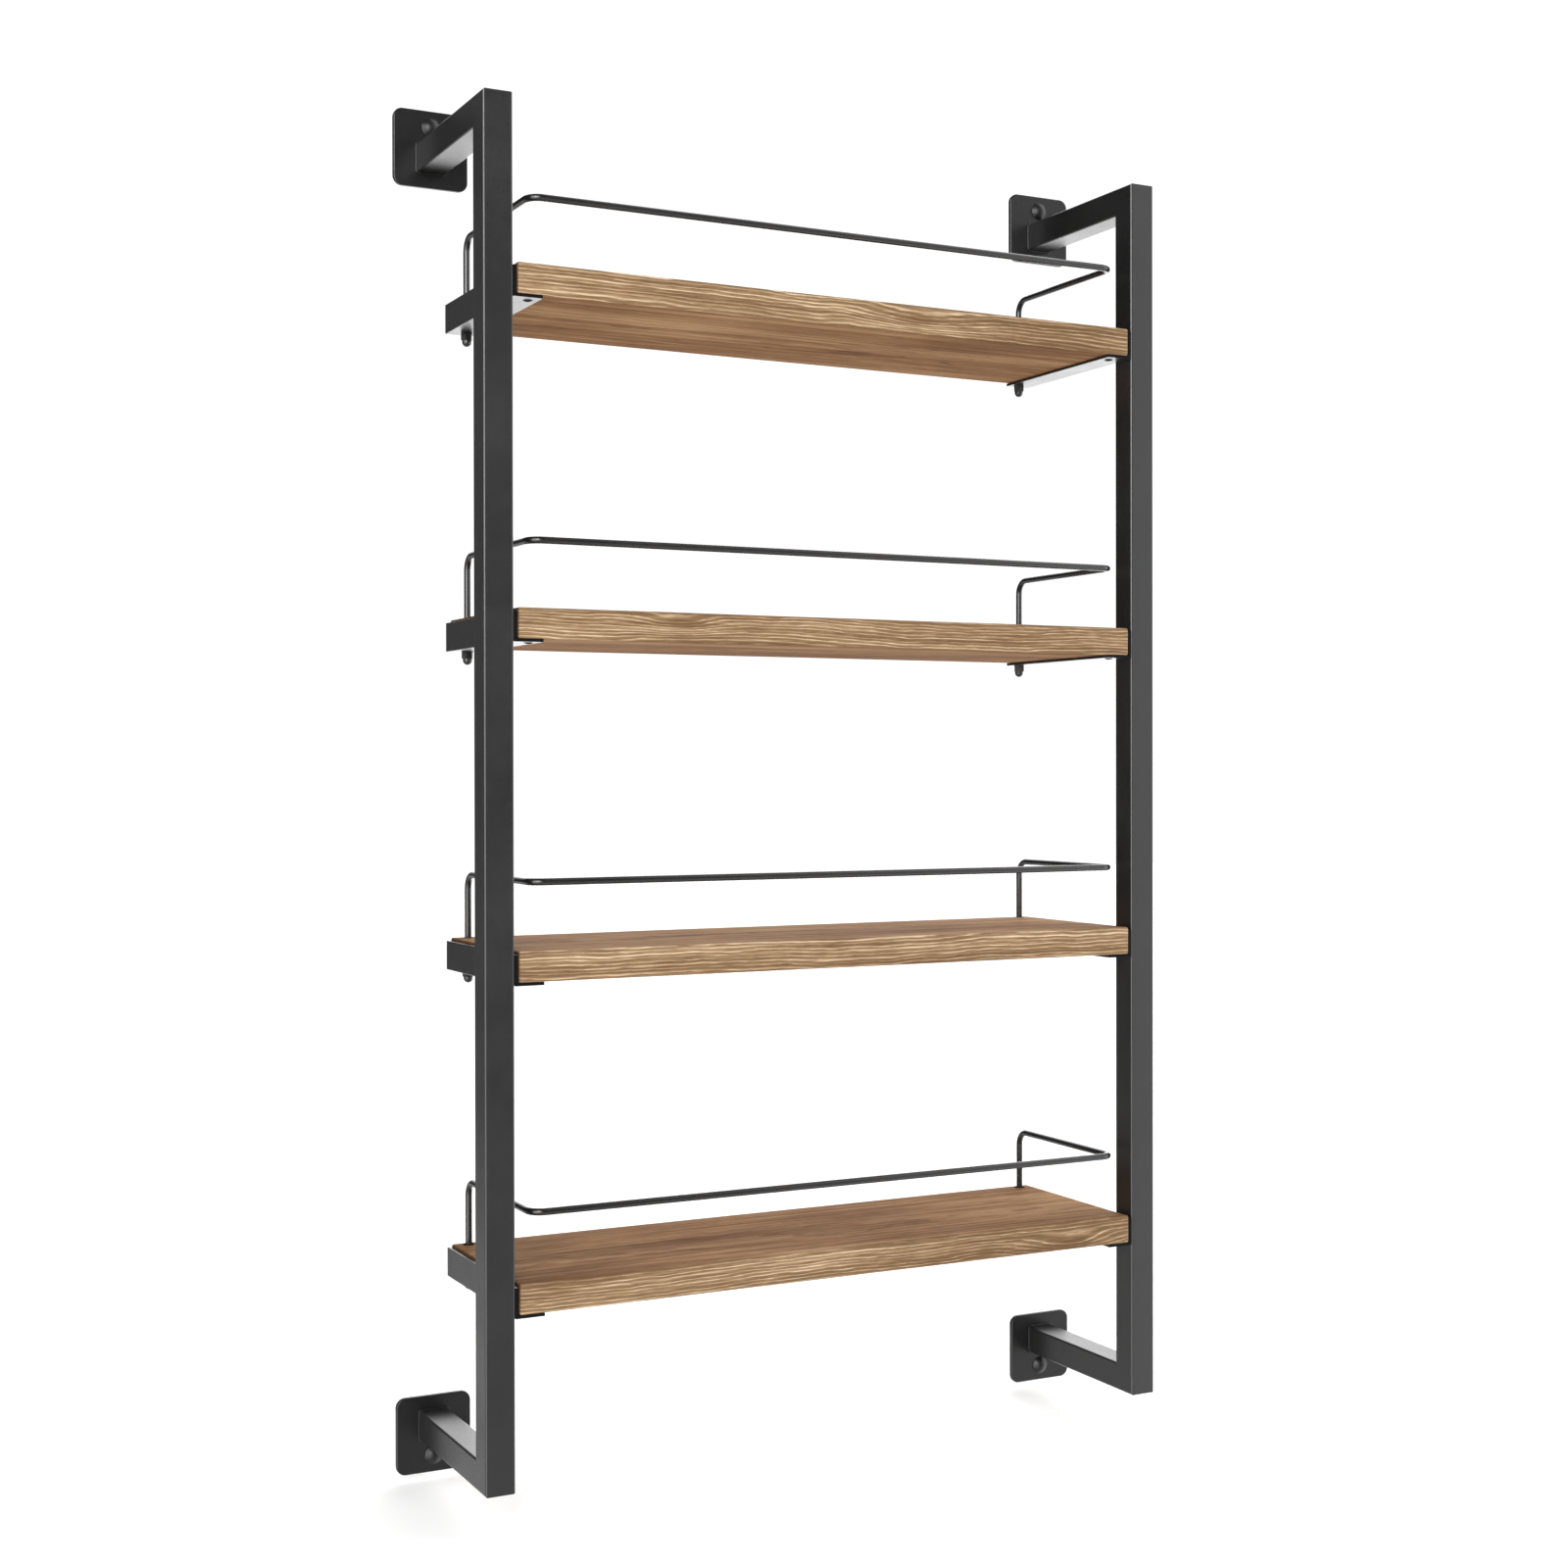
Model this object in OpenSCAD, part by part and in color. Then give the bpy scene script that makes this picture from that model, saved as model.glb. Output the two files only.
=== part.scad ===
// Wall-mounted four-tier spice rack: welded square-tube side frames on four
// screwed wall plates, four timber shelves on angle brackets, and a bent wire
// guard rail above every shelf.
// Millimetres. The origin is the centre of the wall-screw pattern, on the wall
// plane. +X runs along the shelves, +Y points into the wall and +Z is up.

/* [Frame] */
// Overall width across the two side frames
frame_w = 388; // [300:1:600]
// Overall height of the side frames
frame_h = 666; // [560:1:900]
// Distance from the wall to the front face of the posts
frame_d = 104; // [90:1:160]
// Outside size of the square tube
tube_w = 15; // [12:0.5:25]
// Wall thickness of the square tube
tube_wall = 1.2; // [1:0.1:2.5]
// Outside corner radius of the square tube
tube_r = 1; // [0.5:0.1:2]
// Width of the weld bead that runs round each arm at its plate
weld_w = 0.8; // [0.4:0.1:1.5]

/* [Wall plates] */
// Width and height of each wall plate
plate_w = 39.6; // [34:0.1:60]
// Thickness of each wall plate
plate_t = 2.4; // [2:0.1:5]
// Radius of the wall plate corners
plate_r = 5; // [2:0.5:8]
// Rounding of the front edge of each wall plate
plate_edge = 0.7; // [0.2:0.1:1]
// Distance from a frame end to the middle of its wall plate
plate_in = 2.7; // [0:0.1:7]
// Distance a wall screw sits beyond the frame end
screw_out = 8.4; // [7:0.1:12]

/* [Wall screws] */
// Diameter of the domed screw head
head_d = 10; // [8:0.1:12]
// Height of the domed screw head
head_h = 2.8; // [2:0.1:4]
// Shank diameter of a wall screw
shank_d = 4; // [3:0.1:5]
// Length of shank that stands out behind the plate, with its point
shank_out = 27.6; // [15:0.1:50]
// Length of the pointed tip
tip_l = 5; // [2:0.5:8]
// Diameter of the plain collar under the head, where the screw passes its plate
collar_d = 4.4; // [4:0.1:5.6]
// Diameter of the screw hole in a wall plate
plate_hole_d = 4.6; // [4.2:0.1:6]

/* [Shelves] */
// Length of a shelf board
board_w = 354; // [260:1:560]
// Depth of a shelf board, front to back
board_d = 102; // [80:1:150]
// Thickness of a shelf board
board_t = 15; // [12:0.5:22]
// Rounding of the long edges of a shelf board
board_edge = 1; // [0.5:0.1:3]
// Distance a board stands proud of the front of the posts
board_proud = 0.5; // [0:0.1:2]
// Height of the frame top above the top shelf's upper face
top_drop = 80; // [60:0.5:200]
// Distance between the upper three shelves
shelf_pitch = 164; // [140:0.5:200]
// Distance between the two lowest shelves
low_pitch = 158.5; // [140:0.5:200]

/* [Shelf brackets] */
// Sheet thickness of an angle bracket
angle_t = 1.5; // [1:0.1:3]
// Outside radius of the corner between the two flanges
angle_corner = 0.5; // [0.3:0.1:2]
// Inside radius of the corner between the two flanges
angle_fillet = 0.3; // [0.2:0.1:1.5]
// Width of the flange under the board
angle_w = 15; // [12:0.5:25]
// Front-to-back length of an angle bracket
angle_l = 102; // [80:1:150]
// Distance the upright flange stops below the top of the board
angle_low = 1.6; // [0.5:0.1:4]
// Distance from the post front to the bracket screw
angle_screw_in = 7.2; // [5:0.1:20]
// Head diameter of a bracket screw
angle_head_d = 5; // [4:0.1:7]
// Head height of a bracket screw
angle_head_h = 0.7; // [0.5:0.1:2]
// Shank diameter of a bracket screw
angle_shank_d = 2.8; // [2:0.1:4]
// Length of a bracket screw inside the board
angle_shank_l = 10; // [6:0.5:12]

/* [Guard rails] */
// Wire diameter
wire_d = 3.5; // [3:0.1:6]
// Height of the wire centre above the board
rail_up = 32.7; // [20:0.1:60]
// Distance from the post front to the middle of the front wire
rail_in = 3.8; // [2:0.1:10]
// Distance between the two side wires
rail_w = 338.2; // [260:0.1:540]
// Distance from the post front to the rear legs
leg_in = 96.8; // [70:0.1:140]
// Bend radius of the wire at the two front corners
front_bend = 7; // [5:0.5:20]
// Bend radius of the wire at the top of the rear legs
rear_bend = 7.5; // [5:0.5:15]
// Diameter of the clearance hole in the board round each leg
leg_hole_d = 6.1; // [5:0.1:8]
// Diameter of the threaded end of each leg
thread_d = 2.9; // [2:0.1:4]
// Length of the threaded end below the board
thread_l = 5.4; // [4:0.1:8]

/* [Cap nuts] */
// Width across the flats of a cap nut
nut_af = 5.5; // [5:0.1:8]
// Height of the hexagonal part of a cap nut
nut_hex_h = 3.6; // [2:0.1:6]
// Overall height of a cap nut
nut_h = 6.8; // [5:0.1:10]

/* [Hidden] */
$fn = 48;
eps = 0.01;
half_w = frame_w / 2;
half_h = frame_h / 2;
arm_x = half_w - tube_w / 2;
arm_z = half_h - tube_w / 2;
post_y = tube_w / 2 - frame_d;
plate_z = half_h - plate_in;
screw_z = half_h + screw_out;
bracket_x = half_w - tube_w;
rail_x = rail_w / 2;
front_y = rail_in - frame_d;
leg_y = leg_in - frame_d;
board_y0 = -frame_d - board_proud;
angle_screw_y = angle_screw_in - frame_d;
nut_dome_d = nut_af - 0.7;
shelf_1 = half_h - top_drop;
shelf_2 = shelf_1 - shelf_pitch;
shelf_3 = shelf_2 - shelf_pitch;
shelf_4 = shelf_3 - low_pitch;
coat_grey = [0.16, 0.16, 0.16];
steel_black = [0.10, 0.10, 0.10];
timber = [0.62, 0.44, 0.28];

// A square outline with round corners, centred on the origin.
module round_square(w, h, r) {
    square([w - 2 * r, h], center = true);
    square([w, h - 2 * r], center = true);
    for (sx = [-1, 1])
        for (sy = [-1, 1])
            translate([sx * (w / 2 - r), sy * (h / 2 - r)]) circle(r = r);
}

// Section of the square tube.
module tube_section() {
    difference() {
        round_square(tube_w, tube_w, tube_r);
        square(tube_w - 2 * tube_wall, center = true);
    }
}

// All the space behind the 45 degree mitre plane through an outer frame corner.
// side is 1 for the top corner and -1 for the bottom corner.
module behind_mitre(side) {
    reach = 2 * frame_d;
    translate([-tube_w, -frame_d, side * half_h])
        rotate([-45 * side, 0, 0])
            translate([0, -reach, side > 0 ? 0 : -reach]) cube([2 * tube_w, 2 * reach, reach]);
}

// One upright tube of a side frame, mitred at both ends.
module post(s) {
    color(coat_grey)
        translate([s * arm_x, 0, 0])
            difference() {
                translate([0, post_y, -half_h]) linear_extrude(height = frame_h) tube_section();
                behind_mitre(1);
                behind_mitre(-1);
            }
}

// One short tube from a post end back to its wall plate.
module arm(s, side) {
    color(coat_grey)
        translate([s * arm_x, 0, 0])
            intersection() {
                translate([0, -plate_t, side * arm_z])
                    rotate([90, 0, 0]) linear_extrude(height = frame_d - plate_t) tube_section();
                behind_mitre(side);
            }
}

// Outline of the front edge of a wall plate, from the middle out.
module plate_profile(half) {
    square([half - plate_edge, plate_t]);
    square([half, plate_t - plate_edge]);
    translate([half - plate_edge, plate_t - plate_edge]) circle(r = plate_edge);
}

// Square wall plate with round corners, a softened front edge and a screw hole.
module wall_plate(s, side) {
    flat = plate_w - 2 * plate_r;
    color(coat_grey)
        translate([s * arm_x, 0, side * plate_z])
            difference() {
                union() {
                    for (a = [0, 90])
                        rotate([0, a, 0])
                            translate([0, 0, -flat / 2])
                                linear_extrude(height = flat)
                                    for (m = [0, 1])
                                        mirror([m, 0]) mirror([0, 1]) plate_profile(plate_w / 2);
                    for (sx = [-1, 1])
                        for (sz = [-1, 1])
                            translate([sx * flat / 2, 0, sz * flat / 2])
                                rotate([90, 0, 0]) rotate_extrude() plate_profile(plate_r);
                }
                translate([0, eps, side * (screw_z - plate_z)])
                    rotate([90, 0, 0]) cylinder(d = plate_hole_d, h = plate_t + 2 * eps);
            }
}

// Thin weld bead round an arm where it meets its plate.
module weld_bead(s, side) {
    outer = tube_w + 2 * weld_w;
    color(coat_grey)
        translate([s * arm_x, -plate_t, side * arm_z])
            rotate([90, 0, 0])
                linear_extrude(height = weld_w)
                    difference() {
                        round_square(outer, outer, tube_r + weld_w);
                        round_square(tube_w, tube_w, tube_r);
                    }
}

// Domed wall screw: head on the plate, plain collar through it and pointed shank behind.
module wall_screw(s, side) {
    dome_r = (head_d * head_d / 4 + head_h * head_h) / (2 * head_h);
    color(steel_black)
        translate([s * arm_x, -plate_t, side * screw_z])
            rotate([90, 0, 0]) {
                intersection() {
                    translate([0, 0, head_h - dome_r]) sphere(r = dome_r);
                    cylinder(d = head_d, h = head_h + eps);
                }
                translate([0, 0, -plate_t]) cylinder(d = collar_d, h = plate_t + head_h / 2);
                translate([0, 0, tip_l - plate_t - shank_out])
                    cylinder(d = shank_d, h = shank_out - tip_l + eps);
                translate([0, 0, -plate_t - shank_out]) cylinder(d1 = 0.8, d2 = shank_d, h = tip_l);
            }
}

// Section of a board across its depth, with softened long edges.
module board_section() {
    translate([board_d / 2, board_t / 2]) round_square(board_d, board_t, board_edge);
}

// One timber shelf, drilled for the rail legs and the bracket screws.
module shelf(top) {
    color(timber)
        difference() {
            translate([-board_w / 2, board_y0, top - board_t])
                rotate([90, 0, 90]) linear_extrude(height = board_w) board_section();
            for (s = [-1, 1]) {
                translate([s * rail_x, leg_y, top - board_t - eps])
                    cylinder(d = leg_hole_d, h = board_t + 2 * eps);
                translate([s * rail_x, angle_screw_y, top - board_t - eps])
                    cylinder(d = angle_shank_d + 0.1, h = angle_shank_l + 0.5);
            }
        }
}

// Section of an angle bracket: two flanges, a small outer round and an inner fillet.
module angle_section() {
    inner = angle_t + angle_fillet;
    height = board_t + angle_t - angle_low;
    difference() {
        union() {
            translate([angle_corner, angle_corner]) circle(r = angle_corner);
            translate([0, angle_corner]) square([inner, height - angle_corner]);
            translate([angle_corner, 0]) square([angle_w - angle_corner, inner]);
        }
        translate([inner, inner]) circle(r = angle_fillet);
        translate([angle_t, inner]) square([angle_w, height]);
        translate([inner, angle_t]) square([angle_w, height]);
    }
}

// Angle bracket welded to the inner face of a post, under a board end.
module bracket(s, top) {
    under = top - board_t;
    color(coat_grey)
        difference() {
            translate([s * bracket_x, angle_l - frame_d, under - angle_t])
                rotate([90, 0, 0])
                    linear_extrude(height = angle_l)
                        mirror([s > 0 ? 1 : 0, 0]) angle_section();
            translate([s * rail_x, leg_y, under - angle_t - eps])
                cylinder(d = thread_d + 0.3, h = angle_t + 2 * eps);
            translate([s * rail_x, angle_screw_y, under - angle_t - eps])
                cylinder(d = angle_shank_d + 0.4, h = angle_t + 2 * eps);
        }
}

// One bent wire guard rail: front wire, side wires and threaded rear legs.
module rail(top) {
    z = top + rail_up;
    r = wire_d / 2;
    under = top - board_t;
    color(steel_black) {
        translate([-rail_x + front_bend, front_y, z])
            rotate([0, 90, 0]) cylinder(r = r, h = rail_w - 2 * front_bend);
        for (s = [-1, 1]) {
            translate([s * (rail_x - front_bend), front_y + front_bend, z])
                rotate([0, 0, s > 0 ? -90 : 180])
                    rotate_extrude(angle = 90) translate([front_bend, 0]) circle(r = r);
            translate([s * rail_x, leg_y - rear_bend, z])
                rotate([90, 0, 0]) cylinder(r = r, h = leg_y - rear_bend - front_y - front_bend);
            translate([s * rail_x, leg_y - rear_bend, z - rear_bend])
                rotate([90, 0, 90])
                    rotate_extrude(angle = 90) translate([rear_bend, 0]) circle(r = r);
            translate([s * rail_x, leg_y, under])
                cylinder(r = r, h = z - rear_bend - under);
            translate([s * rail_x, leg_y, under - thread_l])
                cylinder(d = thread_d, h = thread_l + 1);
        }
    }
}

// Two domed cap nuts that clamp the rear legs of one rail from below.
module cap_nuts(top) {
    seat = top - board_t - angle_t;
    color(steel_black)
        for (s = [-1, 1])
            translate([s * rail_x, leg_y, seat])
                difference() {
                    union() {
                        translate([0, 0, -nut_hex_h])
                            cylinder(d = nut_af / cos(30), h = nut_hex_h, $fn = 6);
                        translate([0, 0, -nut_h + nut_dome_d / 2])
                            cylinder(d = nut_dome_d, h = nut_h - nut_dome_d / 2 - eps);
                        translate([0, 0, -nut_h + nut_dome_d / 2]) sphere(d = nut_dome_d);
                    }
                    translate([0, 0, -thread_l + angle_t - 0.2])
                        cylinder(d = thread_d + 0.1, h = thread_l);
                }
}

// Two low-headed screws that hold the front of one board to its brackets.
module bracket_screws(top) {
    seat = top - board_t - angle_t;
    color(steel_black)
        for (s = [-1, 1])
            translate([s * rail_x, angle_screw_y, seat]) {
                translate([0, 0, -angle_head_h]) cylinder(d = angle_head_d, h = angle_head_h);
                translate([0, 0, -angle_head_h / 2])
                    cylinder(d = angle_shank_d, h = angle_head_h / 2 + angle_t + angle_shank_l);
            }
}

post(-1);  // left_post
post(1);  // right_post
arm(-1, 1);  // left_top_arm
arm(1, 1);  // right_top_arm
arm(-1, -1);  // left_bottom_arm
arm(1, -1);  // right_bottom_arm
wall_plate(-1, 1);  // left_top_plate
wall_plate(1, 1);  // right_top_plate
wall_plate(-1, -1);  // left_bottom_plate
wall_plate(1, -1);  // right_bottom_plate
weld_bead(-1, 1);  // left_top_weld
weld_bead(1, 1);  // right_top_weld
weld_bead(-1, -1);  // left_bottom_weld
weld_bead(1, -1);  // right_bottom_weld
shelf(shelf_1);
shelf(shelf_2);
shelf(shelf_3);
shelf(shelf_4);
bracket(-1, shelf_1);  // bracket_1_left
bracket(1, shelf_1);  // bracket_1_right
bracket(-1, shelf_2);  // bracket_2_left
bracket(1, shelf_2);  // bracket_2_right
bracket(-1, shelf_3);  // bracket_3_left
bracket(1, shelf_3);  // bracket_3_right
bracket(-1, shelf_4);  // bracket_4_left
bracket(1, shelf_4);  // bracket_4_right
rail(shelf_1);  // rail_1
rail(shelf_2);  // rail_2
rail(shelf_3);  // rail_3
rail(shelf_4);  // rail_4
cap_nuts(shelf_1);  // cap_nuts_1
cap_nuts(shelf_2);  // cap_nuts_2
cap_nuts(shelf_3);  // cap_nuts_3
cap_nuts(shelf_4);  // cap_nuts_4
bracket_screws(shelf_1);  // bracket_screws_1
bracket_screws(shelf_2);  // bracket_screws_2
bracket_screws(shelf_3);  // bracket_screws_3
bracket_screws(shelf_4);  // bracket_screws_4
wall_screw(-1, 1);  // left_top_screw
wall_screw(1, 1);  // right_top_screw
wall_screw(-1, -1);  // left_bottom_screw
wall_screw(1, -1);  // right_bottom_screw
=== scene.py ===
"""Looks of a wall-mounted four-tier spice rack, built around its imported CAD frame."""

import math

import bmesh
import bpy
from mathutils import Euler, Matrix, Vector, noise


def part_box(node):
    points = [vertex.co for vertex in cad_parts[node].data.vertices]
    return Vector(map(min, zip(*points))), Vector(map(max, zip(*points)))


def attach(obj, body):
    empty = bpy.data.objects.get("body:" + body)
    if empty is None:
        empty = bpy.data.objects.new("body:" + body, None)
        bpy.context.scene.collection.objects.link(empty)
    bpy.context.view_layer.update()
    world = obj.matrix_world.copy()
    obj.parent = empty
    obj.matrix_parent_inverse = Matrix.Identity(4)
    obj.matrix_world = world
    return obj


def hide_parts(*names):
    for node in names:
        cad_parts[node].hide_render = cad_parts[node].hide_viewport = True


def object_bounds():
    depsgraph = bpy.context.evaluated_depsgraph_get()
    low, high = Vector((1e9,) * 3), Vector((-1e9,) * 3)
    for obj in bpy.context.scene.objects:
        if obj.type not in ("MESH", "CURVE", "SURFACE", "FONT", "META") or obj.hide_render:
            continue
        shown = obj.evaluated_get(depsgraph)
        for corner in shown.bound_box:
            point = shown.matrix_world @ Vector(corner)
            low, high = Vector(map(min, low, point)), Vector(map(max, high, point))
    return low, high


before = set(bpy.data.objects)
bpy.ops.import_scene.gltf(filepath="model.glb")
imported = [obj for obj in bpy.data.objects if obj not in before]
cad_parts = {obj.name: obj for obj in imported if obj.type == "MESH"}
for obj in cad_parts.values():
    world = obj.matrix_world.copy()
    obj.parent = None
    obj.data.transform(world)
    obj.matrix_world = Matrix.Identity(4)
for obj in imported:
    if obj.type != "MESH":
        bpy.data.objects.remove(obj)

cad_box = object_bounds()

MM = 0.001
BODY = "root"
SIDES = ("left", "right")
ENDS = ("top", "bottom")
TIERS = (1, 2, 3, 4)
BOTH_WAYS = (-1, 1)

# Sizes that the frame's boxes don't give, in metres.
WIRE_D = 3.5 * MM
THREAD_D = 2.9 * MM
THREAD_L = 5.4 * MM
SHOULDER = 0.2 * MM
FRONT_BEND = 7 * MM
REAR_BEND = 7.5 * MM
LEG_HOLE_D = 6.1 * MM
SCREW_BORE_D = 2.9 * MM
SCREW_BORE_L = 10.5 * MM
BOARD_EDGE = 1.0 * MM
BOARD_UNEVEN = 0.09 * MM
NUT_HEX_H = 3.6 * MM
NUT_DOME_D = 4.8 * MM
NUT_CHAMFER = 0.35 * MM
LOW_HEAD_H = 0.7 * MM
LOW_SHANK_D = 2.8 * MM
LOW_POINT_L = 2 * MM
RECESS_REACH = 1.35 * MM
RECESS_HALF = 0.28 * MM
RECESS_DEPTH = 0.45 * MM
SCREW_HEAD_D = 10 * MM
SCREW_HEAD_H = 2.8 * MM
SCREW_RIM = 0.35 * MM
SCREW_CORE_D = 2.9 * MM
SCREW_COLLAR_D = 4.4 * MM
SCREW_THREAD_D = 4.0 * MM
SCREW_PITCH = 1.8 * MM
SCREW_TIP_L = 5 * MM
FLOOR_GAP = 4 * MM
FLOOR_REACH = 6.0

# Widths of the softened edges, and the face size above which a face is drawn flat.
WELD_SOFT = 0.12 * MM
PLATE_SOFT = 0.15 * MM
BRACKET_SOFT = 0.2 * MM
FLAT_AREA = 4 * MM * MM

# Powder coat: noise cells per metre, depths of the orange peel, and the painted shade colour of a
# bracket's front end.
CLOUD_SCALE = 26
PEEL_SCALE = 620
GRAIN_SCALE = 2600
TUBE_PEEL = 0.02 * MM
SMALL_PEEL = 0.008 * MM
END_SHADE_COLOUR = (0.002, 0.002, 0.002)

# Wood: the log's growth rings, and for each tier the log's axis (y, z) from the board's
# middle and its knots (place, size, push on the rings).
RING_GAP = 1.6 * MM
GRAIN_DEPTH = 0.05 * MM
WOODS = {
    1: ((0.006, -0.090), [((0.045, -0.051, 0.0), (0.05, 0.03, 0.010), 0.004)]),
    2: ((-0.009, 0.085), [((-0.09, -0.051, 0.002), (0.04, 0.03, 0.009), -0.003)]),
    3: ((0.004, -0.095), [((0.11, -0.030, 0.0), (0.05, 0.03, 0.012), 0.004)]),
    4: ((-0.008, -0.080), [((0.140, -0.051, -0.005), (0.050, 0.03, 0.010), 0.0045)]),
}
# Stain ramps for the sawn edges and for the faces. The edges' paler ramp is partly their own figure
# and partly painted light, as if lit from the front; the faces' browner, darker ramp is partly painted
# shade.
EDGE_STAIN_AND_LIGHT = [
    (0.0, (0.135, 0.077, 0.039)),
    (0.3, (0.210, 0.130, 0.068)),
    (0.55, (0.325, 0.220, 0.128)),
    (0.8, (0.500, 0.368, 0.238)),
    (1.0, (0.670, 0.520, 0.355)),
]
FACE_STAIN_AND_SHADE = [
    (0.0, (0.105, 0.043, 0.016)),
    (0.3, (0.195, 0.095, 0.038)),
    (0.55, (0.300, 0.168, 0.079)),
    (0.8, (0.420, 0.262, 0.136)),
    (1.0, (0.560, 0.390, 0.225)),
]
# Board ends darker, partly as end grain that takes more stain and partly as painted shade of the gap
# at the brackets; painted shade inside the leg holes.
END_GRAIN_AND_SHADE_COLOUR = (0.085, 0.045, 0.022)
BORE_SHADE_COLOUR = (0.012, 0.009, 0.007)

# Camera: a normal lens at the rack's mid height, to the left, turned to the right.
CAMERA_AT = (-0.53787, -1.08866, 0.01005)
CAMERA_YAW = math.radians(27.045)
CAMERA_PITCH = math.radians(-0.3025)
CAMERA_ROLL = math.radians(-0.0869)
CAMERA_LENS = 50.28
CAMERA_SENSOR = 36

# Studio: headings are clockwise from +Y, the way into the wall. The side glow grows
# towards its heading, the low glow lies below a height, and the edge glow is a strip.
SIDE_HEADING = math.radians(72)
SIDE_GLOW = [(0.0, 0.03), (0.43, 0.03), (0.535, 0.10), (0.585, 0.52), (0.655, 1.70),
             (0.80, 3.1), (1.0, 3.1)]
LOW_GLOW = 0.95
EDGE_HEADING = math.radians(-125)
EDGE_GLOW_LOW, EDGE_GLOW_HIGH = 3.8, 6.5
BACKDROP_LEVEL = 1.1
FLOOR_LEVEL = 0.82
FLOOR_GLOW = 0.45


# ---------------------------------------------------------------- node graphs


class Graph:
    """Short calls for building one material's or world's node tree."""

    def __init__(self, tree):
        self.tree = tree
        tree.nodes.clear()

    def add(self, kind, inputs=None, **settings):
        node = self.tree.nodes.new(kind)
        for key, value in settings.items():
            setattr(node, key, value)
        for key, value in (inputs or {}).items():
            self.put(node.inputs[key], value)
        return node

    def put(self, socket, value):
        if isinstance(value, bpy.types.NodeSocket):
            self.tree.links.new(value, socket)
        else:
            socket.default_value = value

    def math(self, operation, a, b=0.0):
        return self.add("ShaderNodeMath", {0: a, 1: b}, operation=operation).outputs[0]

    def total(self, value, *others):
        for other in others:
            value = self.math("ADD", value, other)
        return value

    def centred(self, fac, amount):
        """A noise as a shift of up to half of amount to either side."""
        return self.math("MULTIPLY", self.math("SUBTRACT", fac, 0.5), amount)

    def vector(self, operation, a, b=(0, 0, 0)):
        node = self.add("ShaderNodeVectorMath", {0: a, 1: b}, operation=operation)
        return node.outputs["Value" if operation in ("LENGTH", "DOT_PRODUCT") else "Vector"]

    def parts(self, vector):
        return self.add("ShaderNodeSeparateXYZ", {0: vector}).outputs[:3]

    def distance(self, a, b):
        return self.vector("LENGTH", self.add("ShaderNodeCombineXYZ", {0: a, 1: b}).outputs[0])

    def noise(self, coords, scale, detail=2.0, roughness=0.5):
        """Noise between 0 and 1. Three scales stretch it along the axes."""
        if isinstance(scale, tuple):
            coords = self.add("ShaderNodeMapping", {"Vector": coords, "Scale": scale}).outputs[0]
            scale = 1.0
        inputs = {"Vector": coords, "Scale": scale, "Detail": detail, "Roughness": roughness}
        return self.add("ShaderNodeTexNoise", inputs).outputs["Fac"]

    def ramp(self, value, stops):
        node = self.add("ShaderNodeValToRGB", {"Fac": value})
        elements = node.color_ramp.elements
        while len(elements) < len(stops):
            elements.new(0.5)
        for element, (place, colour) in zip(elements, stops):
            element.position = place
            grey = isinstance(colour, (int, float))
            element.color = (colour, colour, colour, 1) if grey else (*colour, 1)
        return node.outputs["Color"]

    def spread(self, value, low, high, to_low=0.0, to_high=1.0, smooth=False):
        inputs = {"Value": value, "From Min": low, "From Max": high,
                  "To Min": to_low, "To Max": to_high}
        kind = "SMOOTHSTEP" if smooth else "LINEAR"
        return self.add("ShaderNodeMapRange", inputs, interpolation_type=kind).outputs["Result"]

    def mix(self, share, a, b):
        node = self.add("ShaderNodeMix", data_type="RGBA")
        for index, value in ((0, share), (6, a), (7, b)):
            self.put(node.inputs[index], (*value, 1) if isinstance(value, tuple) else value)
        return node.outputs[2]

    def bump(self, height, distance):
        inputs = {"Height": height, "Distance": distance, "Strength": 1.0}
        return self.add("ShaderNodeBump", inputs).outputs["Normal"]


def new_material(name):
    """An empty material, its graph, and the place of a point in the row frame."""
    material = bpy.data.materials.new(name)
    material.use_nodes = True
    g = Graph(material.node_tree)
    return material, g, g.add("ShaderNodeTexCoord").outputs["Object"]


def finish_material(g, inputs):
    shader = g.add("ShaderNodeBsdfPrincipled", inputs)
    g.add("ShaderNodeOutputMaterial", {"Surface": shader.outputs[0]})


# ------------------------------------------------------------------ materials


def powder_coat(name, dark, light, rough, peel, gloss=0.5, shaded_end=None):
    """Black satin powder coat: orange peel, faint cloudiness and uneven sheen.
    The last argument, when given, is the Y of the front end, where the coat is painted darker and less
    glossy as painted shade."""
    material, g, place = new_material(name)
    cloud = g.noise(place, CLOUD_SCALE, 3, 0.55)
    grain = g.noise(place, GRAIN_SCALE, 2, 0.6)
    orange_peel = g.noise(place, PEEL_SCALE, 2, 0.45)
    tone = g.math("ADD", g.math("MULTIPLY", cloud, 0.75), g.math("MULTIPLY", grain, 0.25))
    colour = g.ramp(tone, [(0.3, dark), (0.7, light)])
    sheen = g.math("ADD", g.math("MULTIPLY", cloud, 0.6), g.math("MULTIPLY", orange_peel, 0.4))
    relief = g.math("ADD", orange_peel, g.math("MULTIPLY", grain, 0.25))
    # Painted shade: the front end is darkened and its gloss lowered.
    if shaded_end is not None:
        y = g.parts(place)[1]
        shade_full_until, shade_gone_from = shaded_end + 0.1 * MM, shaded_end + 0.5 * MM
        gloss = g.spread(y, shade_full_until, shade_gone_from, 0.06, gloss)
        painted_end_shade = g.spread(y, shade_full_until, shade_gone_from, 0.6, 0.0)
        colour = g.mix(painted_end_shade, colour, END_SHADE_COLOUR)
    finish_material(g, {
        "Base Color": colour,
        "Roughness": g.spread(sheen, 0.3, 0.7, rough - 0.05, rough + 0.06),
        "IOR": 1.5,
        "Specular IOR Level": gloss,
        "Normal": g.bump(relief, peel),
    })
    return material


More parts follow.
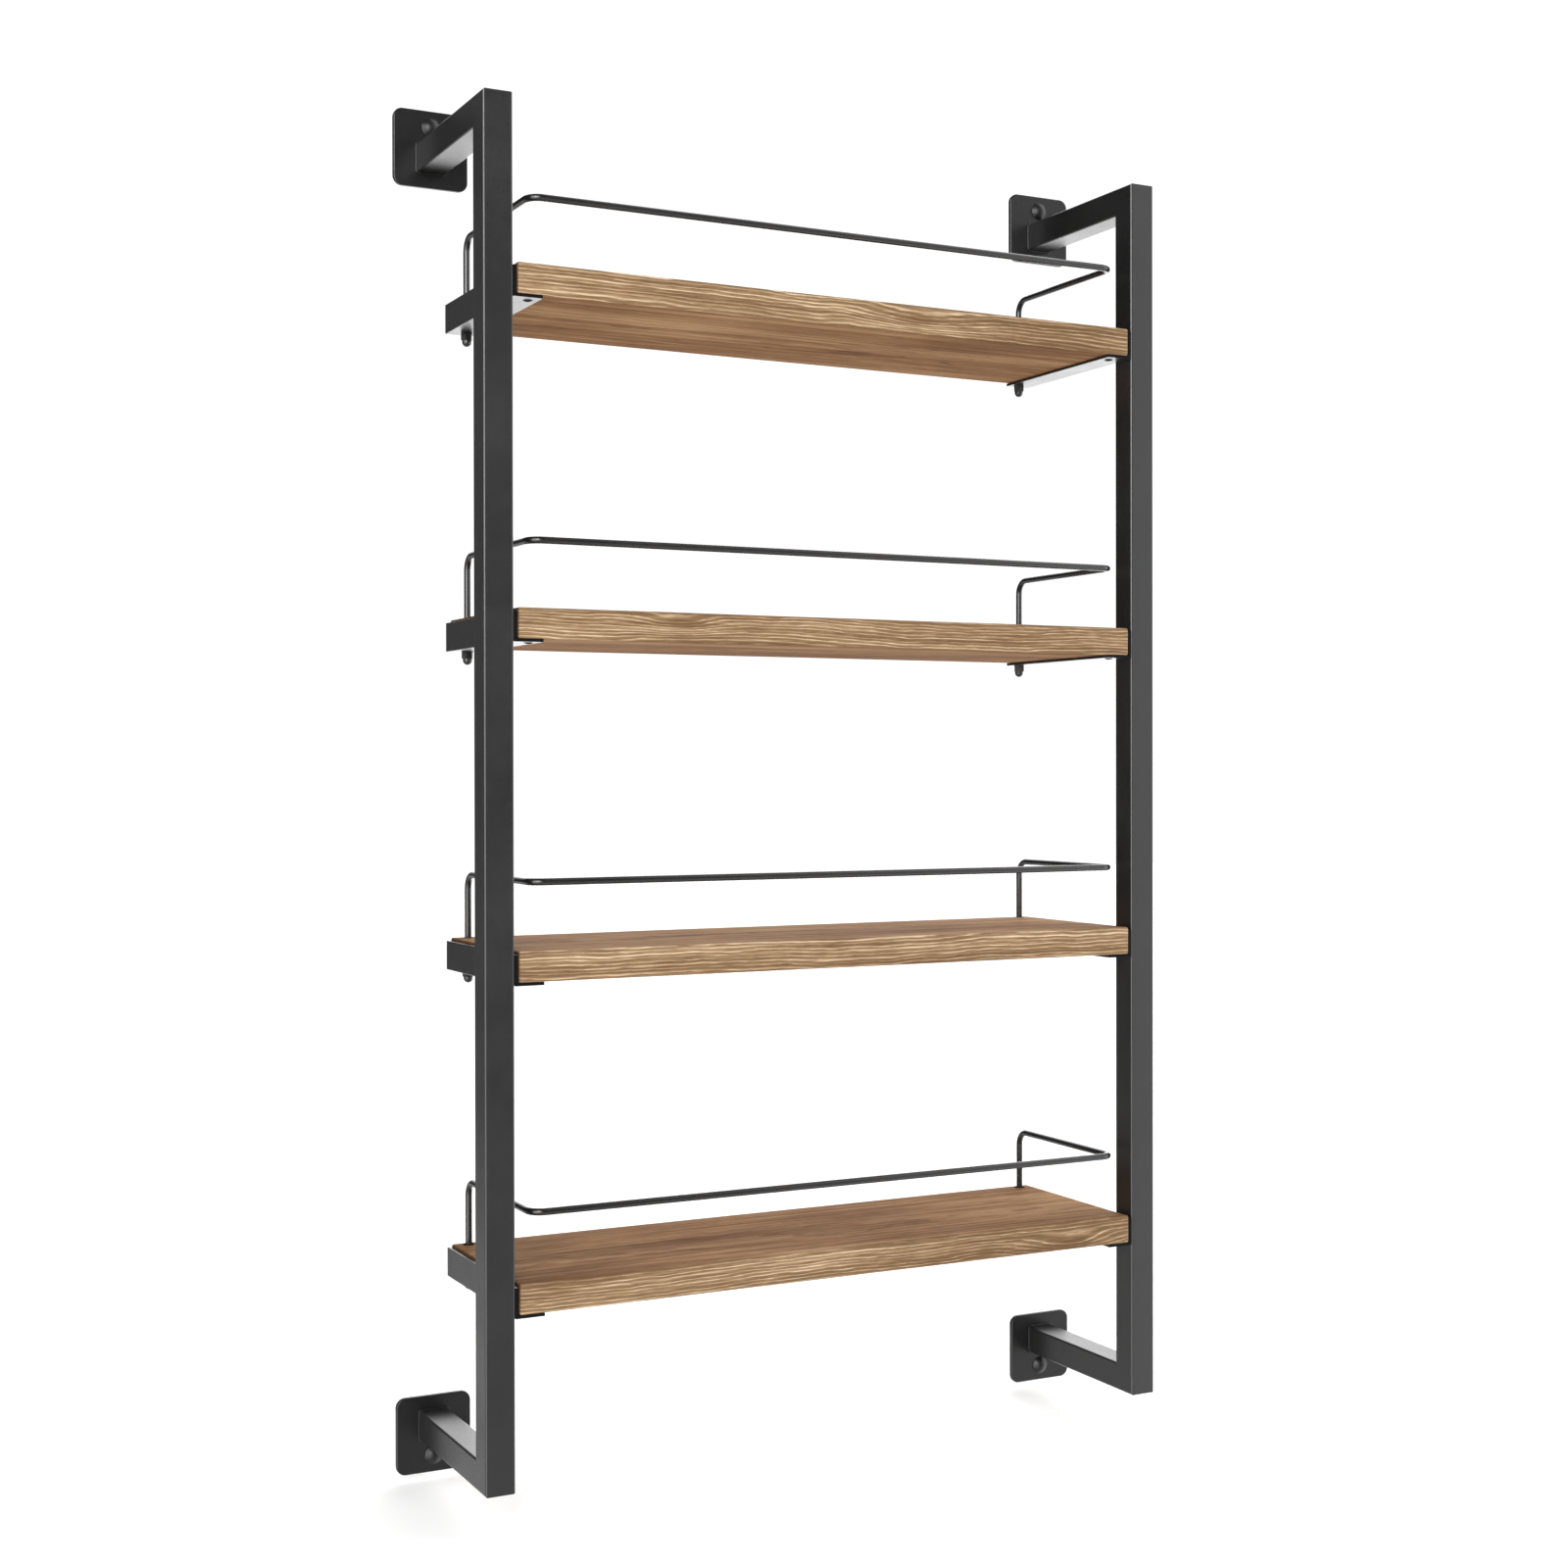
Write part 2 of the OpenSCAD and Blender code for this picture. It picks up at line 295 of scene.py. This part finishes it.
def growth_rings(g, local, log_axis, knots, shifts):
    """Rings counted outwards from the log's axis, and the shade of the knots, which
    push the rings aside."""
    _, y, z = g.parts(local)
    radius = g.distance(g.math("SUBTRACT", y, log_axis[0]), g.math("SUBTRACT", z, log_axis[1]))
    radius = g.total(radius, *shifts)
    knot_shade = 0.0
    for centre, size, push in knots:
        away = g.vector("DIVIDE", g.vector("SUBTRACT", local, centre), size)
        near = g.spread(g.vector("LENGTH", away), 0.0, 1.0, 1.0, 0.0, smooth=True)
        radius = g.math("ADD", radius, g.math("MULTIPLY", near, push))
        knot_shade = g.math("ADD", knot_shade, g.math("POWER", near, 6.0))
    return g.math("DIVIDE", radius, RING_GAP), knot_shade


def ring_lines(g, rings, width):
    """The rings as broad pale lines for sawn edges, and as thin dark ones for faces."""
    year_place = g.add("ShaderNodeCombineXYZ", {0: g.math("MULTIPLY", rings, 0.6)}).outputs[0]
    years = g.noise(year_place, 1, 1)
    phase = g.math("FRACT", g.math("ADD", rings, g.centred(years, 1.3)))
    from_line = g.math("ABSOLUTE", g.math("SUBTRACT", phase, 0.5))
    line_end = g.spread(width, 0.35, 0.65, 0.20, 0.36)
    line = g.spread(from_line, 0.02, line_end, 1.0, 0.0, smooth=True)
    line = g.math("MULTIPLY", line, g.spread(years, 0.35, 0.65, 0.45, 1.0))
    late = g.spread(from_line, 0.0, 0.16, 1.0, 0.0, smooth=True)
    late = g.math("MULTIPLY", late, g.spread(width, 0.35, 0.65, 1.0, 0.35))
    return line, late


def leg_places(tier):
    """The X and Y of a guard rail's right-hand leg. The left one is its mirror image."""
    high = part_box(f"rail_{tier}")[1]
    return high.x - WIRE_D / 2, high.y - WIRE_D / 2


def bore_shade(g, tier, x, y, middle_y):
    """Painted shade for a board's two leg holes: 1 inside them, fading out just past their rims."""
    leg_x, leg_y = leg_places(tier)
    bore_x = g.math("SUBTRACT", g.math("ABSOLUTE", x), leg_x)
    bore_y = g.math("SUBTRACT", y, leg_y - middle_y)
    rim = LEG_HOLE_D / 2
    return g.spread(g.distance(bore_x, bore_y), rim, rim + 0.25 * MM, 0.9, 0.0, smooth=True)


def board_wood(name, tier, log_axis, knots):
    """Oiled softwood cut from a log along X: pale rings on the sawn edges, dark ones on the faces,
    fibres, streaks, pores, knots, end grain darkened partly as painted shade, and painted shade in the
    drill holes.
    The edges are paler and the faces darker partly as painted light and shade."""
    material, g, place = new_material(name)
    low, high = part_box(f"shelf_{tier}")
    middle = (low + high) / 2
    local = g.vector("SUBTRACT", place, tuple(middle))
    seeded = g.vector("ADD", local, (3.7 * tier, 1.3 * tier, 2.1 * tier))
    x, y, _ = g.parts(local)

    sway = g.noise(seeded, (6, 14, 14))
    ripple = g.noise(seeded, (34, 90, 90))
    fibres = g.noise(seeded, (80, 1500, 1500), 3, 0.65)
    width = g.noise(seeded, (16, 120, 120))
    streaks = g.noise(seeded, (7, 330, 330), 4, 0.65)
    blotches = g.noise(seeded, (7, 26, 44))
    pores = g.spread(g.noise(seeded, (130, 2300, 2300)), 0.30, 0.40, 1.0, 0.0, smooth=True)
    shifts = (g.centred(sway, 9 * MM), g.centred(ripple, 2.6 * MM), g.centred(fibres, 0.6 * MM))
    rings, knot_shade = growth_rings(g, local, log_axis, knots, shifts)
    line, late = ring_lines(g, rings, width)

    def stained(start, figure, figure_part, fibre_part, streak_part, blotch_part):
        return g.total(
            start, g.math("MULTIPLY", figure, figure_part), g.centred(fibres, fibre_part),
            g.centred(streaks, streak_part), g.centred(blotches, blotch_part),
            g.math("MULTIPLY", knot_shade, -0.3), g.math("MULTIPLY", pores, -0.14))

    # The sawn edges take a paler ramp, partly painted light, and the faces a darker one, partly
    # painted shade.
    edge_colour = g.ramp(stained(0.22, line, 0.64, 1.05, 0.95, 0.65), EDGE_STAIN_AND_LIGHT)
    face_colour = g.ramp(stained(0.40, late, -0.28, 0.75, 1.2, 1.0), FACE_STAIN_AND_SHADE)
    edge_y = high.y - middle.y
    sawn_edge = g.spread(g.math("ABSOLUTE", y), edge_y - 1.5 * MM, edge_y - 0.4 * MM, smooth=True)
    # The board ends are darkened, partly as end grain and partly as painted shade of the gap at the
    # bracket flanges.
    end_grain_and_shade = g.spread(g.math("ABSOLUTE", x), high.x - 0.7 * MM, high.x - 0.2 * MM,
                         0.0, 0.8, smooth=True)
    colour = g.mix(sawn_edge, face_colour, edge_colour)
    colour = g.mix(end_grain_and_shade, colour, END_GRAIN_AND_SHADE_COLOUR)
    # Painted shade inside the leg holes.
    colour = g.mix(bore_shade(g, tier, x, y, middle.y), colour, BORE_SHADE_COLOUR)
    relief = g.math("ADD", g.math("MULTIPLY", line, 0.5), g.math("MULTIPLY", fibres, 0.7))
    relief = g.math("SUBTRACT", relief, g.math("MULTIPLY", pores, 0.4))
    finish_material(g, {
        "Base Color": colour,
        "Roughness": g.spread(streaks, 0.3, 0.7, 0.86, 0.74),
        "IOR": 1.45,
        "Specular IOR Level": 0.07,
        "Normal": g.bump(relief, GRAIN_DEPTH),
    })
    return material


def stage_paint(name, level):
    """Pale matt paint that glows a little, so that it has no dark corners."""
    material, g, place = new_material(name)
    colour = g.ramp(g.noise(place, 3), [(0.3, level), (0.7, level * 1.01)])
    finish_material(g, {"Base Color": colour, "Roughness": 0.9,
                        "Emission Color": colour, "Emission Strength": FLOOR_GLOW})
    return material


# --------------------------------------------------------------- mesh helpers


def add_piece(name, mesh, material, nodes, smooth_angle=30):
    piece = bpy.data.objects.new(name, mesh)
    bpy.context.scene.collection.objects.link(piece)
    mesh.materials.clear()
    mesh.materials.append(material)
    mesh.shade_smooth()
    mesh.set_sharp_from_angle(angle=math.radians(smooth_angle))
    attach(piece, BODY)
    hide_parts(*nodes)
    return piece


def mesh_from(name, build):
    """A new mesh from a function that fills a bmesh, with its normals outward."""
    bm = bmesh.new()
    build(bm)
    bmesh.ops.recalc_face_normals(bm, faces=bm.faces)
    mesh = bpy.data.meshes.new(name)
    bm.to_mesh(mesh)
    bm.free()
    return mesh


def skin_rings(bm, rings):
    """Joins rings of points with quads, and closes both ends with a fan."""
    loops = [[bm.verts.new(point) for point in ring] for ring in rings]
    count = len(loops[0])
    for low, high in zip(loops, loops[1:]):
        for i in range(count):
            j = (i + 1) % count
            bm.faces.new((low[i], low[j], high[j], high[i]))
    for loop in (loops[0], loops[-1]):
        centre = bm.verts.new(sum((v.co for v in loop), Vector()) / count)
        for i in range(count):
            bm.faces.new((loop[i], loop[(i + 1) % count], centre))


def lathe(bm, profile, place, segments=40, shape=None):
    """Turns (radius, height) points about an axis. place puts the turned piece in
    the row frame, and shape(angle, radius, height) may change a radius."""
    rings = []
    for radius, height in profile:
        ring = []
        for i in range(segments):
            angle = 2 * math.pi * i / segments
            r = shape(angle, radius, height) if shape else radius
            ring.append(place @ Vector((r * math.cos(angle), r * math.sin(angle), height)))
        rings.append(ring)
    skin_rings(bm, rings)


def arc(centre, radius, start, end, steps):
    """(x, y) points on a round stretch, with its angles in degrees."""
    angles = [math.radians(start + (end - start) * i / steps) for i in range(steps + 1)]
    return [(centre[0] + radius * math.cos(a), centre[1] + radius * math.sin(a)) for a in angles]


def dome_of(radius, height):
    """The radius of a shallow dome's sphere, and the half angle that the dome takes."""
    sphere = (radius ** 2 + height ** 2) / (2 * height)
    return sphere, math.degrees(math.asin(radius / sphere))


def sweep(bm, path, radii, sides=20):
    """A round tube along a path of points, with one radius for each point."""
    rings = []
    heading = (path[1] - path[0]).normalized()
    across = heading.orthogonal().normalized()
    for i, point in enumerate(path):
        before = path[max(i - 1, 0)]
        after = path[min(i + 1, len(path) - 1)]
        new_heading = (after - before).normalized()
        across = heading.rotation_difference(new_heading) @ across
        heading = new_heading
        side = heading.cross(across)
        ring = []
        for k in range(sides):
            angle = 2 * math.pi * k / sides
            ring.append(point + radii[i] * (math.cos(angle) * across + math.sin(angle) * side))
        rings.append(ring)
    skin_rings(bm, rings)


def cut(piece, tool_mesh, smooth_angle):
    """Cuts one mesh out of a piece, removes the tool and marks the sharp edges again."""
    tool = bpy.data.objects.new("tool", tool_mesh)
    bpy.context.scene.collection.objects.link(tool)
    modifier = piece.modifiers.new("cut", "BOOLEAN")
    modifier.operation = "DIFFERENCE"
    modifier.solver = "EXACT"
    modifier.object = tool
    bpy.context.view_layer.update()
    graph = bpy.context.evaluated_depsgraph_get()
    result = bpy.data.meshes.new_from_object(piece.evaluated_get(graph))
    piece.modifiers.clear()
    piece.data = result
    bpy.data.objects.remove(tool)
    result.set_sharp_from_angle(angle=math.radians(smooth_angle))


# --------------------------------------------------------------------- pieces


def coat_tube(node, material):
    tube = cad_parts[node]
    tube.data.materials.clear()
    tube.data.materials.append(material)


def softened_copy(node, name, material, width):
    """A CAD node's shape with its hard edges rounded over by a small width."""
    bm = bmesh.new()
    bm.from_mesh(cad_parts[node].data)
    bmesh.ops.remove_doubles(bm, verts=bm.verts, dist=MM / 1000)
    bmesh.ops.dissolve_limit(bm, angle_limit=math.radians(0.5), verts=bm.verts, edges=bm.edges)
    corner = math.radians(40)
    hard = [e for e in bm.edges if len(e.link_faces) == 2 and e.calc_face_angle(0) > corner]
    bmesh.ops.bevel(bm, geom=hard, offset=width, offset_type="OFFSET", segments=2,
                    profile=0.5, affect="EDGES", clamp_overlap=True)
    mesh = bpy.data.meshes.new(name)
    bm.to_mesh(mesh)
    bm.free()
    add_piece(name, mesh, material, [node], 50)
    for face in mesh.polygons:
        if face.area > FLAT_AREA:
            face.use_smooth = False


def board_outline(size):
    """(y, z) points round a board's section, with eased corners."""
    corners = []
    for centre, start in (((-1, 1), 90), ((1, 1), 0), ((1, -1), -90), ((-1, -1), -180)):
        at = (centre[0] * (size.y / 2 - BOARD_EDGE), centre[1] * (size.z / 2 - BOARD_EDGE))
        corners.append(arc(at, BOARD_EDGE, start + 90, start, 5))
    outline = []
    for i, points in enumerate(corners):
        outline.extend(points)
        begin, end = points[-1], corners[(i + 1) % 4][0]
        steps = 40 if i % 2 == 0 else 14
        for k in range(1, steps):
            t = k / steps
            outline.append((begin[0] + (end[0] - begin[0]) * t, begin[1] + (end[1] - begin[1]) * t))
    return outline


def board_stations(length):
    """(x, swell) along a board. The swell grows from 0 to 1 over each eased end."""
    columns = 118
    half = length / 2
    angles = [math.radians(a) for a in (0, 18, 36, 54, 72, 90)]
    eased = [(-half + BOARD_EDGE * (1 - math.cos(a)), math.sin(a)) for a in angles]
    flat_l = length - 2 * BOARD_EDGE
    inner = [(-half + BOARD_EDGE + flat_l * i / columns, 1.0) for i in range(1, columns)]
    return eased + inner + [(-x, swell) for x, swell in reversed(eased)]


def board_mesh(bm, low, high, tier):
    """A board with softened edges and the slight unevenness of sanded timber."""
    size = high - low
    middle = (low + high) / 2
    outline = board_outline(size)

    def drawn_in(value, inset):
        return value - math.copysign(min(inset, abs(value)), value)

    def outward(value, half):
        return value / half if abs(abs(value) - half) < BOARD_EDGE else 0

    rings = []
    for x, swell in board_stations(size.x):
        inset = BOARD_EDGE * (1 - swell)
        ring = []
        for y, z in outline:
            uneven = noise.noise(Vector((x * 14, y * 60, z * 160 + 9 * tier)))
            lift = BOARD_UNEVEN * (uneven - 1)
            normal = Vector((0, outward(y, size.y / 2), outward(z, size.z / 2)))
            point = Vector((x, drawn_in(y, inset), drawn_in(z, inset))) + normal * lift
            ring.append(middle + point)
        rings.append(ring)
    skin_rings(bm, rings)


def make_board(tier, material):
    node = f"shelf_{tier}"
    low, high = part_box(node)
    mesh = mesh_from(f"{node}_board", lambda bm: board_mesh(bm, low, high, tier))
    piece = add_piece(f"{node}_board", mesh, material, [node], 40)
    leg_x, leg_y = leg_places(tier)
    screw_low, screw_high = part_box(f"bracket_screws_{tier}")
    screw_x = screw_high.x - (screw_high.y - screw_low.y) / 2
    screw_y = (screw_low.y + screw_high.y) / 2
    thickness = high.z - low.z
    start = low.z - thickness / 2

    def drills(bm):
        for way in BOTH_WAYS:
            for x, y, radius, depth, segments in (
                    (leg_x, leg_y, LEG_HOLE_D / 2, 2 * thickness, 40),
                    (screw_x, screw_y, SCREW_BORE_D / 2, thickness / 2 + SCREW_BORE_L, 24)):
                place = Matrix.Translation((way * x, y, start))
                lathe(bm, [(radius, 0), (radius, depth)], place, segments)

    cut(piece, mesh_from("drills", drills), 40)


def rail_path(low, high):
    """Centre line of a guard rail, from one leg's foot round to the other's. Two
    points lie almost together where the leg steps down to its thread."""
    r = WIRE_D / 2
    x, front, back, top = high.x - r, low.y + r, high.y - r, high.z - r
    shoulder = low.z + THREAD_L
    levels = (low.z, shoulder, shoulder + 0.01 * MM, shoulder + SHOULDER)
    rear = arc((back - REAR_BEND, top - REAR_BEND), REAR_BEND, 0, 90, 10)
    corner = arc((-x + FRONT_BEND, front + FRONT_BEND), FRONT_BEND, 180, 270, 12)
    side = [Vector((-x, back, level)) for level in levels]
    side += [Vector((-x, y, z)) for y, z in rear]
    side += [Vector((px, py, top)) for px, py in corner]
    return side + [Vector((-p.x, p.y, p.z)) for p in reversed(side)]


def make_rail(tier, material):
    node = f"rail_{tier}"
    path = rail_path(*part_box(node))
    foot = [THREAD_D / 2, THREAD_D / 2, WIRE_D / 2 - SHOULDER]
    radii = foot + [WIRE_D / 2] * (len(path) - 2 * len(foot)) + foot[::-1]
    mesh = mesh_from(f"{node}_wire", lambda bm: sweep(bm, path, radii))
    add_piece(f"{node}_wire", mesh, material, [node], 35)


def make_cap_nuts(tier, material):
    """Two domed nuts, hung from the underside of the brackets."""
    node = f"cap_nuts_{tier}"
    low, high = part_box(node)
    flats = high.y - low.y
    corners = flats / math.cos(math.radians(30))
    centre_x = high.x - corners / 2
    centre_y = (low.y + high.y) / 2
    dome = NUT_DOME_D / 2
    dome_z = low.z - high.z + dome
    on_hexagon = 1.0
    near_end = [0.0, 0.12 * MM, 0.3 * MM, 0.5 * MM]
    depths = near_end + [NUT_HEX_H - depth for depth in reversed(near_end)]
    profile = [(0.7 * dome, 0.0)] + [(on_hexagon, -depth) for depth in depths]
    profile += [(dome, -NUT_HEX_H)] + arc((0, dome_z), dome, 0, -84, 10)

    def hexagon(angle, radius, level):
        if radius != on_hexagon:
            return radius
        turn = (angle + math.pi / 6) % (math.pi / 3) - math.pi / 6
        from_end = min(-level, NUT_HEX_H + level)
        cone = corners / 2 - max(0.0, NUT_CHAMFER - 1.4 * from_end)
        return min(flats / 2 / math.cos(turn), cone)

    def build(bm):
        for way in BOTH_WAYS:
            place = Matrix.Translation((way * centre_x, centre_y, high.z))
            lathe(bm, profile, place @ Matrix.Rotation(math.radians(30), 4, "Z"), 48, hexagon)

    mesh = mesh_from(f"{node}_pair", build)
    add_piece(f"{node}_pair", mesh, material, [node], 22)


def make_bracket_screws(tier, material):
    """Two low-headed screws with a cross recess, heads down."""
    node = f"bracket_screws_{tier}"
    low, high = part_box(node)
    head_r = (high.y - low.y) / 2
    shank_r = LOW_SHANK_D / 2
    length = high.z - low.z
    places = [Matrix.Translation((way * (high.x - head_r), (low.y + high.y) / 2, low.z))
              for way in BOTH_WAYS]
    dome_r, reach = dome_of(head_r, LOW_HEAD_H)
    profile = [(0.1 * MM, length), (shank_r * 0.5, length - 0.3 * MM), (shank_r, length - LOW_POINT_L),
               (shank_r, LOW_HEAD_H), (head_r - 0.08 * MM, LOW_HEAD_H)]
    profile += arc((0, dome_r), dome_r, reach - 90, -88, 12)

    def build(bm):
        for place in places:
            lathe(bm, profile, place, 36)

    def recess(bm):
        arm = [(RECESS_REACH, -RECESS_HALF), (RECESS_REACH, RECESS_HALF), (RECESS_HALF, RECESS_HALF)]
        turns = [Matrix.Rotation(math.radians(20 + 90 * quarter), 4, "Z") for quarter in range(4)]
        for place in places:
            skin_rings(bm, [[place @ turn @ Vector((x, y, level)) for turn in turns for x, y in arm]
                            for level in (-0.3 * MM, RECESS_DEPTH)])

    mesh = mesh_from(f"{node}_pair", build)
    piece = add_piece(f"{node}_pair", mesh, material, [node], 30)
    cut(piece, mesh_from("recess", recess), 30)


def screw_profile(plate_t):
    """(radius, height) points of a domed head and the collar through its plate, with
    the seat at height 0."""
    head_r, collar_r = SCREW_HEAD_D / 2, SCREW_COLLAR_D / 2
    dome_r, reach = dome_of(head_r, SCREW_HEAD_H)
    dome = arc((0, SCREW_HEAD_H - dome_r), dome_r, 88, 90 - reach, 16)
    dome = [(r, h) for r, h in dome if h > SCREW_RIM]
    crown = [(dome[0][0] * 0.5, SCREW_HEAD_H - MM / 1000)]
    rim = [(head_r - 0.06 * MM, SCREW_RIM), (head_r, SCREW_RIM * 0.5), (head_r - 0.12 * MM, 0.0)]
    collar = [(collar_r, 0.0), (collar_r, -plate_t + 0.1 * MM), (collar_r - 0.2 * MM, -plate_t)]
    return crown + dome + rim + collar


def threaded_rings(length, start):
    """Rings of a threaded shank that narrows to its tip, from height start downwards."""
    around, along = 26, 200
    core, crest = SCREW_CORE_D / 2, SCREW_THREAD_D / 2
    rings = []
    for i in range(along + 1):
        depth = (length - 0.05 * MM) * i / along
        taper = min(1.0, max(0.06, (length - depth) / SCREW_TIP_L))
        run_in = min(1.0, depth / SCREW_PITCH)
        ring = []
        for k in range(around):
            angle = 2 * math.pi * k / around
            phase = (depth / SCREW_PITCH - angle / (2 * math.pi)) % 1.0
            ridge = max(0.0, 1 - abs(phase - 0.5) / 0.26)
            radius = (core + (crest - core) * ridge * run_in) * taper
            ring.append(Vector((radius * math.cos(angle), radius * math.sin(angle), start - depth)))
        rings.append(ring)
    return rings


def make_wall_screw(side, end, material):
    """A domed screw whose plate lies on the wall plane, y = 0."""
    node = f"{side}_{end}_screw"
    low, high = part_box(node)
    centre = (low + high) / 2
    seat = low.y + SCREW_HEAD_H
    plate_t = -seat
    toward_room = Matrix.Rotation(math.radians(90), 4, "X")
    place = Matrix.Translation((centre.x, seat, centre.z)) @ toward_room

    def build(bm):
        lathe(bm, screw_profile(plate_t), place, 48)
        rings = threaded_rings(high.y, -plate_t)
        skin_rings(bm, [[place @ point for point in ring] for ring in rings])

    mesh = mesh_from(f"{node}_turned", build)
    add_piece(f"{node}_turned", mesh, material, [node], 32)


# --------------------------------------------------------------- stage, light


def make_stage():
    mesh = mesh_from("floor", lambda bm: bmesh.ops.create_grid(
        bm, x_segments=2, y_segments=2, size=FLOOR_REACH))
    floor = bpy.data.objects.new("floor", mesh)
    floor.location = (0, 0, cad_box[0].z - FLOOR_GAP)
    bpy.context.scene.collection.objects.link(floor)
    mesh.materials.append(stage_paint("floor_paint", FLOOR_LEVEL))
    floor.visible_glossy = False


def add_area(name, place, size, power, glossy=True):
    """A soft rectangular lamp that faces the middle of the rack."""
    light = bpy.data.lights.new(name, "AREA")
    light.shape = "RECTANGLE"
    light.size, light.size_y = size
    light.energy = power
    lamp = bpy.data.objects.new(name, light)
    lamp.location = place
    lamp.rotation_euler = (-Vector(place)).to_track_quat("-Z", "Y").to_euler()
    lamp.visible_glossy = glossy
    lamp.visible_camera = False
    bpy.context.scene.collection.objects.link(lamp)


def make_world():
    """A white studio, brightest to the right and behind and dimmer to the left and in
    front, with a bright low band, a strip behind the left side that only reflections
    see, and a plain white backdrop."""
    world = bpy.data.worlds.new("studio")
    world.use_nodes = True
    bpy.context.scene.world = world
    g = Graph(world.node_tree)
    way = g.add("ShaderNodeTexCoord").outputs["Generated"]
    height = g.parts(way)[2]
    light_path = g.add("ShaderNodeLightPath")

    def facing(heading):
        return g.vector("DOT_PRODUCT", way, (math.sin(heading), math.cos(heading), 0))

    side_glow = g.ramp(g.spread(facing(SIDE_HEADING), -1, 1), SIDE_GLOW)
    low_glow = g.spread(height, -0.175, -0.215, 0.0, LOW_GLOW, smooth=True)
    edge_glow = g.spread(facing(EDGE_HEADING), 0.73, 0.84, smooth=True)
    edge_level = g.spread(height, -0.30, 0.25, EDGE_GLOW_LOW, EDGE_GLOW_HIGH)
    edge_glow = g.math("MULTIPLY", edge_glow, edge_level)
    edge_glow = g.math("MULTIPLY", edge_glow, light_path.outputs["Is Glossy Ray"])
    level = g.math("MAXIMUM", g.math("MAXIMUM", side_glow, low_glow), edge_glow)
    around = g.add("ShaderNodeBackground", {"Color": level, "Strength": 1.0})
    backdrop = g.add("ShaderNodeBackground", {"Color": (1, 1, 1, 1), "Strength": BACKDROP_LEVEL})
    seen = light_path.outputs["Is Camera Ray"]
    both = g.add("ShaderNodeMixShader", {0: seen, 1: around.outputs[0], 2: backdrop.outputs[0]})
    g.add("ShaderNodeOutputWorld", {"Surface": both.outputs[0]})


def make_camera():
    data = bpy.data.cameras.new("camera")
    data.lens = CAMERA_LENS
    data.sensor_width = CAMERA_SENSOR
    camera = bpy.data.objects.new("camera", data)
    turn = (Euler((0, 0, -CAMERA_YAW)).to_matrix()
            @ Euler((math.pi / 2 + CAMERA_PITCH, 0, 0)).to_matrix()
            @ Euler((0, 0, CAMERA_ROLL)).to_matrix())
    camera.matrix_world = Matrix.Translation(CAMERA_AT) @ turn.to_4x4()
    bpy.context.scene.collection.objects.link(camera)
    bpy.context.scene.camera = camera


# ---------------------------------------------------------------------- build

make_camera()
make_stage()
make_world()
add_area("key_softbox", (-0.97, -1.39, 0.62), (0.6, 0.9), 20)
add_area("front_fill", (0.3, -2.6, 0.4), (2.2, 2.2), 12, glossy=False)
bpy.context.scene.view_settings.view_transform = "Standard"

frame_coat = powder_coat("frame_coat", 0.0095, 0.0135, 0.34, TUBE_PEEL)
# The plates' coat is a darker, less glossy copy of the frame coat; its darker colour is painted shade
# from the arms and posts.
plate_coat = powder_coat("plate_coat", 0.0040, 0.0060, 0.36, TUBE_PEEL, gloss=0.38)
bracket_coat = powder_coat("bracket_coat", 0.0090, 0.0125, 0.33, TUBE_PEEL,
                           shaded_end=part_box("bracket_1_left")[0].y)
dome_black = powder_coat("dome_black", 0.0060, 0.0095, 0.40, SMALL_PEEL, gloss=0.3)
screw_black = powder_coat("screw_black", 0.0040, 0.0070, 0.5, SMALL_PEEL, gloss=0.05)
wire_coat = powder_coat("wire_coat", 0.007, 0.011, 0.27, SMALL_PEEL)
fastener_black = powder_coat("fastener_black", 0.008, 0.012, 0.33, SMALL_PEEL)

for side in SIDES:
    for tube in ("post", "top_arm", "bottom_arm"):
        coat_tube(f"{side}_{tube}", frame_coat)
    for end in ENDS:
        weld, plate = f"{side}_{end}_weld", f"{side}_{end}_plate"
        softened_copy(weld, f"{weld}_bead", frame_coat, WELD_SOFT)
        softened_copy(plate, f"{plate}_pressed", plate_coat, PLATE_SOFT)
        make_wall_screw(side, end, dome_black)

for tier in TIERS:
    make_board(tier, board_wood(f"wood_{tier}", tier, *WOODS[tier]))
    make_rail(tier, wire_coat)
    make_cap_nuts(tier, fastener_black)
    make_bracket_screws(tier, screw_black)
    for side in SIDES:
        bracket = f"bracket_{tier}_{side}"
        softened_copy(bracket, f"{bracket}_angle", bracket_coat, BRACKET_SOFT)
